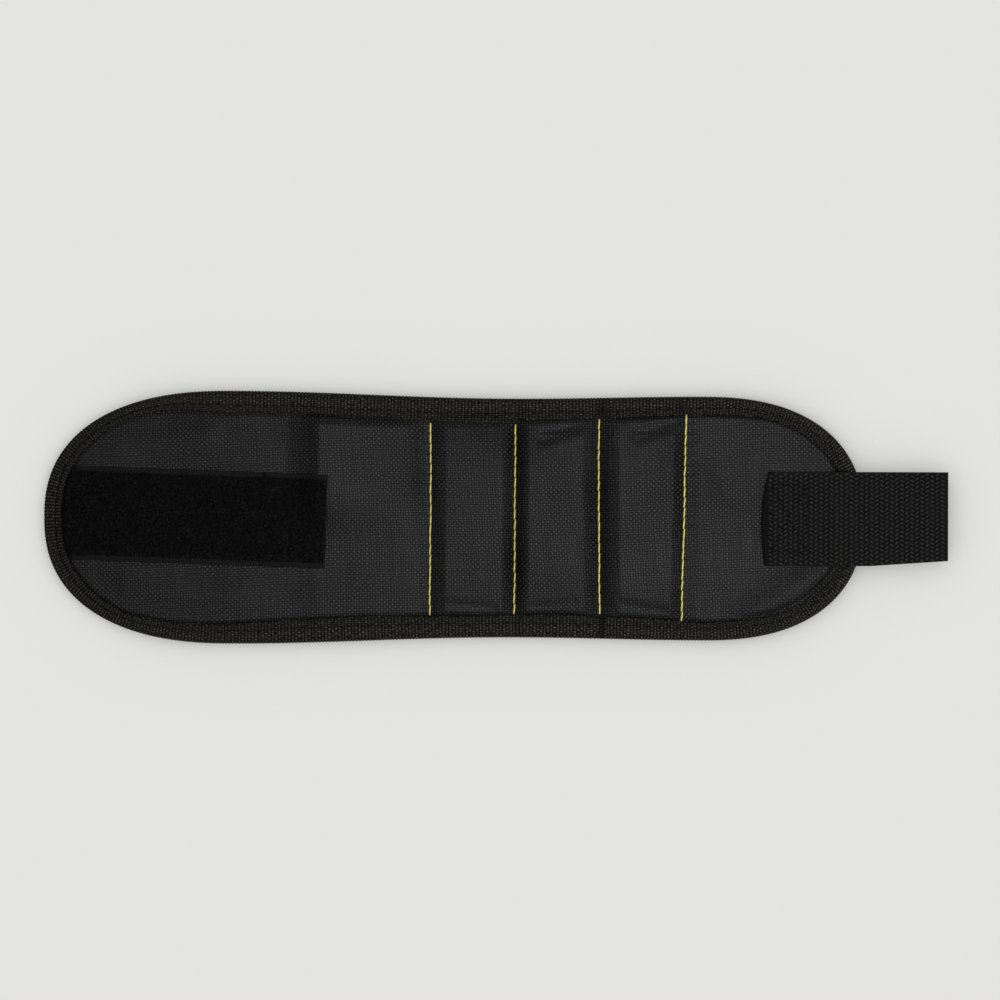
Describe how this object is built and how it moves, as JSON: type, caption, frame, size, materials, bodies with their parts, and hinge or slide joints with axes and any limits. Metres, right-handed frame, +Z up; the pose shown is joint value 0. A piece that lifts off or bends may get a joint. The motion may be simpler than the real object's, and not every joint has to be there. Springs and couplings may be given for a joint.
{
  "type": "magnetic wristband",
  "caption": "Padded cloth wristband with magnets in sewn pockets, a bound edge, a loop patch at one end and a webbing strap with a hook tab at the other.",
  "frame": {"origin": "under the middle of the overall box, on the surface that the band's back lies on", "axes": "+X along the band from the loop end to the strap's tip, +Z up through the front"},
  "size_m": [0.2884, 0.0808, 0.0058],
  "materials": {
    "oxford_cloth": "plain weave, dull",
    "mesh_lining": "knitted air mesh, dull",
    "binding_tape": "ribbed grosgrain, slight sheen",
    "loop_pile": "napped loops, dull",
    "webbing": "woven polypropylene, slight sheen",
    "hook_tape": "moulded nylon hooks",
    "yellow_thread": "twisted polyester thread",
    "magnet": "bright nickel plate",
    "carrier": "die-cut sheet"
  },
  "bodies": {
    "loop_tip": {"front_panel_loop_tip": "oxford_cloth", "lining_loop_tip": "mesh_lining", "binding_loop_tip": "binding_tape", "loop_patch_tip": "loop_pile"},
    "loop_panel": {"front_panel_loop_panel": "oxford_cloth", "lining_loop_panel": "mesh_lining", "binding_upper_loop_panel": "binding_tape", "binding_lower_loop_panel": "binding_tape", "loop_patch_panel": "loop_pile"},
    "plain_panel": {"front_panel_plain_panel": "oxford_cloth", "lining_plain_panel": "mesh_lining", "binding_upper_plain_panel": "binding_tape", "binding_lower_plain_panel": "binding_tape", "stitch_line_1": "yellow_thread"},
    "pocket_1": {"front_panel_pocket_1": "oxford_cloth", "lining_pocket_1": "mesh_lining", "binding_upper_pocket_1": "binding_tape", "binding_lower_pocket_1": "binding_tape", "stitch_line_2": "yellow_thread", "magnet_carrier_1": "carrier", "magnet_1_1": "magnet", "magnet_1_2": "magnet", "magnet_1_3": "magnet", "magnet_1_4": "magnet", "magnet_1_5": "magnet"},
    "pocket_2": {"front_panel_pocket_2": "oxford_cloth", "lining_pocket_2": "mesh_lining", "binding_upper_pocket_2": "binding_tape", "binding_lower_pocket_2": "binding_tape", "stitch_line_3": "yellow_thread", "magnet_carrier_2": "carrier", "magnet_2_1": "magnet", "magnet_2_2": "magnet", "magnet_2_3": "magnet", "magnet_2_4": "magnet", "magnet_2_5": "magnet"},
    "pocket_3": {"front_panel_pocket_3": "oxford_cloth", "lining_pocket_3": "mesh_lining", "binding_upper_pocket_3": "binding_tape", "binding_lower_pocket_3": "binding_tape", "stitch_line_4": "yellow_thread", "magnet_carrier_3": "carrier", "magnet_3_1": "magnet", "magnet_3_2": "magnet", "magnet_3_3": "magnet", "magnet_3_4": "magnet", "magnet_3_5": "magnet"},
    "strap_side": {"front_panel_strap_side": "oxford_cloth", "lining_strap_side": "mesh_lining", "binding_upper_strap_side": "binding_tape", "binding_lower_strap_side": "binding_tape"},
    "strap_end": {"front_panel_strap_end": "oxford_cloth", "lining_strap_end": "mesh_lining", "binding_strap_end": "binding_tape", "strap_anchor": "webbing"},
    "strap_tab": {"strap_tab": "webbing", "hook_patch": "hook_tape"}
  },
  "joints": [
    {"name": "loop_tip_fold", "type": "hinge", "parent": "loop_panel", "child": "loop_tip", "pos_m": [-0.0985, 0, 0], "axis": [0, -1, 0], "range_deg": [-8, 64]},
    {"name": "loop_panel_fold", "type": "hinge", "parent": "plain_panel", "child": "loop_panel", "pos_m": [-0.0536, 0, 0], "axis": [0, -1, 0], "range_deg": [-8, 55]},
    {"name": "plain_panel_fold", "type": "hinge", "parent": "pocket_1", "child": "plain_panel", "pos_m": [-0.0201, 0, 0], "axis": [0, -1, 0], "range_deg": [-8, 41]},
    {"name": "pocket_1_fold", "type": "hinge", "parent": "pocket_2", "child": "pocket_1", "pos_m": [0.0069, 0, 0], "axis": [0, -1, 0], "range_deg": [-8, 36]},
    {"name": "pocket_3_fold", "type": "hinge", "parent": "pocket_2", "child": "pocket_3", "pos_m": [0.0339, 0, 0], "axis": [0, 1, 0], "range_deg": [-8, 36]},
    {"name": "strap_side_fold", "type": "hinge", "parent": "pocket_3", "child": "strap_side", "pos_m": [0.0609, 0, 0], "axis": [0, 1, 0], "range_deg": [-8, 33]},
    {"name": "strap_end_fold", "type": "hinge", "parent": "strap_side", "child": "strap_end", "pos_m": [0.084, 0, 0], "axis": [0, 1, 0], "range_deg": [-8, 38]},
    {"name": "strap_tab_fold", "type": "hinge", "parent": "strap_end", "child": "strap_tab", "pos_m": [0.123, 0, 0.00505], "axis": [0, 1, 0], "range_deg": [-60, 58]}
  ]
}
